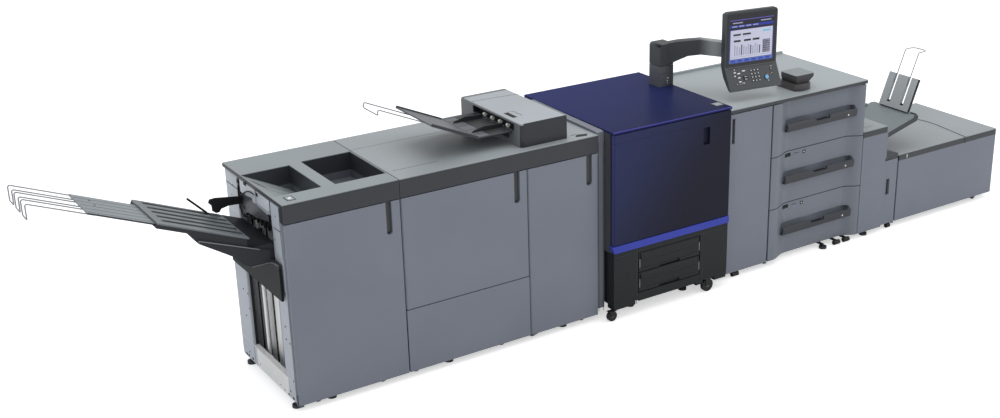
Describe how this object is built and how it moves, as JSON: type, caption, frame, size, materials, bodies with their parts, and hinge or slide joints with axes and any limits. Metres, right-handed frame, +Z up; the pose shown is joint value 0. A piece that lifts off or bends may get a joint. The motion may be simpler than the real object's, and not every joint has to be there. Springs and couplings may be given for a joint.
{
  "type": "digital production printer",
  "caption": "Long digital production printer line: stacking finisher, folding unit with sheet inserter, print engine with panel arm, paper feeder with dished drawers and a low paper bin.",
  "frame": {"origin": "centre of the overall box at floor level", "axes": "+X runs along the line from the stacking tray to the paper bin, -Y is the operator side, +Z is up"},
  "size_m": [5.9764, 0.856, 1.527],
  "materials": {
    "door_grey": "semi-gloss",
    "housing_grey": "satin",
    "frame_lilac": "satin",
    "guide_bright": "brushed",
    "cover_pale": "satin",
    "trim_dark": "matte",
    "black_plastic": "matte",
    "tray_pale": "satin",
    "wire_steel": "satin",
    "roller_white": "matte",
    "engine_blue": "semi-gloss",
    "engine_navy": "gloss",
    "band_blue": "semi-gloss",
    "engine_black": "satin",
    "panel_grey": "matte",
    "screen_glass": "gloss",
    "caster_black": "matte",
    "foot_steel": "satin"
  },
  "bodies": {
    "machine": {"finisher_housing": "housing_grey", "finisher_frame": "frame_lilac", "finisher_guide_rails": "guide_bright", "finisher_top_cover": "cover_pale", "exit_rollers": "black_plastic", "exit_guard": "frame_lilac", "sensor_paddle": "black_plastic", "fascia_bands": "trim_dark", "folder_housing": "housing_grey", "folder_top_cover": "cover_pale", "folder_lower_cover": "door_grey", "docking_frame": "housing_grey", "inserter_body": "trim_dark", "inserter_rollers": "roller_white", "inserter_tray": "housing_grey", "engine_housing": "engine_black", "engine_top_cover": "engine_blue", "engine_trim_band": "band_blue", "engine_base": "engine_black", "panel_column": "trim_dark", "feeder_housing": "housing_grey", "feeder_top_cover": "cover_pale", "stand_base": "trim_dark", "stand_head": "panel_grey", "top_rims": "trim_dark", "relay_housing": "door_grey", "relay_top_cover": "cover_pale", "bin_housing": "door_grey", "bin_lids": "cover_pale", "bypass_tray": "tray_pale", "bypass_support": "tray_pale", "wire_loops": "wire_steel", "casters": "caster_black", "levelling_feet": "foot_steel"},
    "finisher_door": {"finisher_front_door": "door_grey"},
    "folder_upper_leaf": {"folder_upper_door": "door_grey"},
    "folder_right_leaf": {"folder_right_door": "door_grey"},
    "engine_door": {"engine_front_door": "engine_navy"},
    "tray_upper": {"paper_tray_upper": "engine_black"},
    "tray_lower": {"paper_tray_lower": "engine_black"},
    "arm": {"panel_arm": "panel_grey"},
    "panel": {"control_panel": "panel_grey", "panel_screen": "screen_glass", "panel_keys": "black_plastic"},
    "feeder_door": {"feeder_side_door": "door_grey"},
    "drawer_top": {"drawer_upper": "door_grey", "drawer_handle_upper": "trim_dark"},
    "drawer_mid": {"drawer_middle": "door_grey", "drawer_handle_middle": "trim_dark"},
    "drawer_low": {"drawer_lower": "door_grey", "drawer_handle_lower": "trim_dark"},
    "bin_door": {"bin_side_door": "door_grey"},
    "stacker": {"stacker_tray": "tray_pale", "stacker_carrier": "black_plastic"},
    "extension": {"stacker_extension": "tray_pale", "stacker_wires": "wire_steel"}
  },
  "joints": [
    {"name": "finisher_door_hinge", "type": "hinge", "parent": "machine", "child": "finisher_door", "pos_m": [-1.94184, -0.349, 0.5], "axis": [0, 0, -1], "range_deg": [0, 110]},
    {"name": "folder_upper_hinge", "type": "hinge", "parent": "machine", "child": "folder_upper_leaf", "pos_m": [-1.35234, -0.349, 0.65], "axis": [0, 0, -1], "range_deg": [0, 110]},
    {"name": "folder_right_hinge", "type": "hinge", "parent": "machine", "child": "folder_right_leaf", "pos_m": [-0.64034, -0.349, 0.5], "axis": [0, 0, -1], "range_deg": [0, 110]},
    {"name": "engine_door_hinge", "type": "hinge", "parent": "machine", "child": "engine_door", "pos_m": [-0.15484, -0.415, 0.75], "axis": [0, 0, -1], "range_deg": [0, 110]},
    {"name": "feeder_door_hinge", "type": "hinge", "parent": "machine", "child": "feeder_door", "pos_m": [0.98566, -0.344, 0.5], "axis": [0, 0, 1], "range_deg": [0, 90]},
    {"name": "bin_door_hinge", "type": "hinge", "parent": "machine", "child": "bin_door", "pos_m": [2.06416, -0.332, 0.25], "axis": [0, 0, 1], "range_deg": [0, 110]},
    {"name": "drawer_top_slide", "type": "slide", "parent": "machine", "child": "drawer_top", "axis": [0, -1, 0], "range_m": [0, 0.5]},
    {"name": "drawer_mid_slide", "type": "slide", "parent": "machine", "child": "drawer_mid", "axis": [0, -1, 0], "range_m": [0, 0.5]},
    {"name": "drawer_low_slide", "type": "slide", "parent": "machine", "child": "drawer_low", "axis": [0, -1, 0], "range_m": [0, 0.5]},
    {"name": "tray_upper_slide", "type": "slide", "parent": "machine", "child": "tray_upper", "axis": [0, -1, 0], "range_m": [0, 0.4]},
    {"name": "tray_lower_slide", "type": "slide", "parent": "machine", "child": "tray_lower", "axis": [0, -1, 0], "range_m": [0, 0.4]},
    {"name": "stacker_lift", "type": "slide", "parent": "machine", "child": "stacker", "axis": [0, 0, 1], "range_m": [-0.38, 0]},
    {"name": "extension_slide", "type": "slide", "parent": "stacker", "child": "extension", "axis": [0.9239, 0, -0.3827], "range_m": [0, 0.24]},
    {"name": "arm_swivel", "type": "hinge", "parent": "machine", "child": "arm", "pos_m": [0.57916, 0.147, 1.2], "axis": [0, 0, 1], "range_deg": [-45, 45]},
    {"name": "panel_tilt", "type": "hinge", "parent": "arm", "child": "panel", "pos_m": [0.94933, -0.14745, 1.288], "axis": [0.9903, -0.1392, 0], "range_deg": [-25, 0]}
  ]
}
